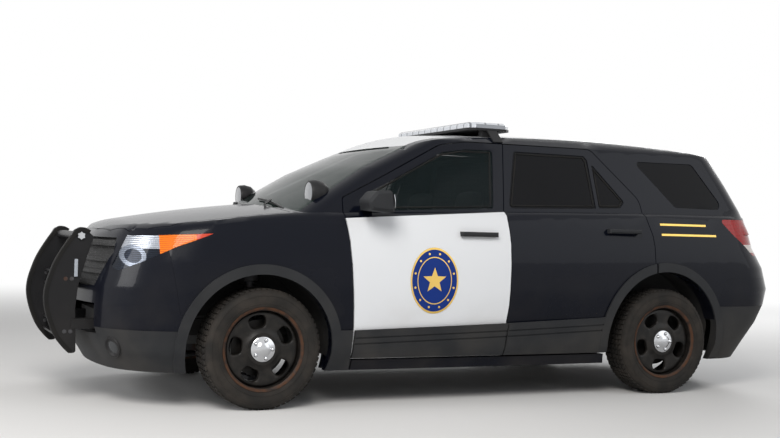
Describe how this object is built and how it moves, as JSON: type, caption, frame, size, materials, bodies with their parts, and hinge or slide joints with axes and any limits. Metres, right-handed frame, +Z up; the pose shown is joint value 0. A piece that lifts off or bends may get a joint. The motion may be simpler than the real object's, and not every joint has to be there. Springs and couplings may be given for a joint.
{
  "type": "police sport utility vehicle",
  "caption": "Full-size police utility vehicle with opening doors, hood and liftgate, steered front wheels, push bumper and roof light bar.",
  "frame": {"origin": "on the ground under the middle of the wheelbase, which is also the middle of the whole length", "axes": "+X forward along the body, +Y to the driver's side, +Z up"},
  "size_m": [5.2111, 2.29, 1.8059],
  "materials": {
    "dark_paint": "gloss blue-black",
    "white_paint": "gloss white, the window frame blue-black",
    "grey_plastic": "grained",
    "black_plastic": "satin",
    "clear_lens": "clear with bright parts behind",
    "red_lens": "gloss",
    "push_bumper": "satin powder coat with rubber edging",
    "tinted_glass": "green-tinted",
    "clear_glass": "lightly tinted",
    "dark_glass": "privacy tint",
    "dark_steel": "satin",
    "underbody": "matt",
    "exhaust_steel": "dull",
    "cast_metal": "rough",
    "trim_plastic": "grained",
    "seat_fabric": "woven",
    "tyre": "dusty",
    "wheel_steel": "black, worn to rust at the lip"
  },
  "bodies": {
    "body": {"floor_pan": "underbody", "body_sides": "dark_paint", "roof_panel": "white_paint", "fenders": "dark_paint", "front_bumper": "dark_paint", "front_valance": "grey_plastic", "grille": "black_plastic", "headlamps": "clear_lens", "push_bumper": "push_bumper", "rear_bumper": "dark_paint", "rear_valance": "grey_plastic", "tail_lamps": "red_lens", "windshield": "tinted_glass", "quarter_glass": "dark_glass", "cowl": "black_plastic", "arch_flares": "grey_plastic", "light_bar_base": "black_plastic", "light_bar_lens": "clear_lens", "spotlights": "black_plastic", "front_suspension": "dark_steel", "rear_suspension": "dark_steel", "wheelhouses": "black_plastic", "exhaust": "exhaust_steel", "fuel_tank": "black_plastic", "engine_block": "cast_metal", "dashboard": "trim_plastic", "front_seats": "seat_fabric", "rear_bench": "seat_fabric", "partition": "dark_steel"},
    "hood": {"hood": "dark_paint"},
    "liftgate": {"liftgate": "dark_paint", "liftgate_glass": "dark_glass"},
    "door_front_left": {"door_front_left": "white_paint", "glass_front_left": "clear_glass", "trim_front_left": "grey_plastic"},
    "wheel_front_left": {"tyre_front_left": "tyre", "rim_front_left": "wheel_steel"},
    "door_rear_left": {"door_rear_left": "dark_paint", "glass_rear_left": "dark_glass", "trim_rear_left": "grey_plastic"},
    "wheel_rear_left": {"tyre_rear_left": "tyre", "rim_rear_left": "wheel_steel"},
    "knuckle_left": {"knuckle_left": "dark_steel"},
    "door_front_right": {"door_front_right": "white_paint", "glass_front_right": "clear_glass", "trim_front_right": "grey_plastic"},
    "wheel_front_right": {"tyre_front_right": "tyre", "rim_front_right": "wheel_steel"},
    "door_rear_right": {"door_rear_right": "dark_paint", "glass_rear_right": "dark_glass", "trim_rear_right": "grey_plastic"},
    "wheel_rear_right": {"tyre_rear_right": "tyre", "rim_rear_right": "wheel_steel"},
    "knuckle_right": {"knuckle_right": "dark_steel"}
  },
  "joints": [
    {"name": "steer_left", "type": "hinge", "parent": "body", "child": "knuckle_left", "pos_m": [1.4325, 0.76, 0.355], "axis": [0, 0, 1], "range_deg": [-35, 35]},
    {"name": "steer_right", "type": "hinge", "parent": "body", "child": "knuckle_right", "pos_m": [1.4325, -0.76, 0.355], "axis": [0, 0, 1], "range_deg": [-35, 35]},
    {"name": "wheel_front_left", "type": "hinge", "parent": "knuckle_left", "child": "wheel_front_left", "pos_m": [1.4325, 0.85, 0.355], "axis": [0, 1, 0], "continuous": true},
    {"name": "wheel_rear_left", "type": "hinge", "parent": "body", "child": "wheel_rear_left", "pos_m": [-1.4325, 0.85, 0.355], "axis": [0, 1, 0], "continuous": true},
    {"name": "door_front_left_hinge", "type": "hinge", "parent": "body", "child": "door_front_left", "pos_m": [0.84, 0.984, 0.7], "axis": [0, 0, -1], "range_deg": [0, 65]},
    {"name": "door_rear_left_hinge", "type": "hinge", "parent": "body", "child": "door_rear_left", "pos_m": [-0.212, 0.984, 0.7], "axis": [0, 0, -1], "range_deg": [0, 65]},
    {"name": "wheel_front_right", "type": "hinge", "parent": "knuckle_right", "child": "wheel_front_right", "pos_m": [1.4325, -0.85, 0.355], "axis": [0, 1, 0], "continuous": true},
    {"name": "wheel_rear_right", "type": "hinge", "parent": "body", "child": "wheel_rear_right", "pos_m": [-1.4325, -0.85, 0.355], "axis": [0, 1, 0], "continuous": true},
    {"name": "door_front_right_hinge", "type": "hinge", "parent": "body", "child": "door_front_right", "pos_m": [0.84, -0.984, 0.7], "axis": [0, 0, 1], "range_deg": [0, 65]},
    {"name": "door_rear_right_hinge", "type": "hinge", "parent": "body", "child": "door_rear_right", "pos_m": [-0.212, -0.984, 0.7], "axis": [0, 0, 1], "range_deg": [0, 65]},
    {"name": "hood_hinge", "type": "hinge", "parent": "body", "child": "hood", "pos_m": [1.09, 0, 1.15], "axis": [0, -1, 0], "range_deg": [0, 50]},
    {"name": "liftgate_hinge", "type": "hinge", "parent": "body", "child": "liftgate", "pos_m": [-2, 0, 1.706], "axis": [0, 1, 0], "range_deg": [0, 80]}
  ],
  "couplings": [
    {"joint": "steer_right", "follows": "steer_left", "ratio": 1}
  ]
}
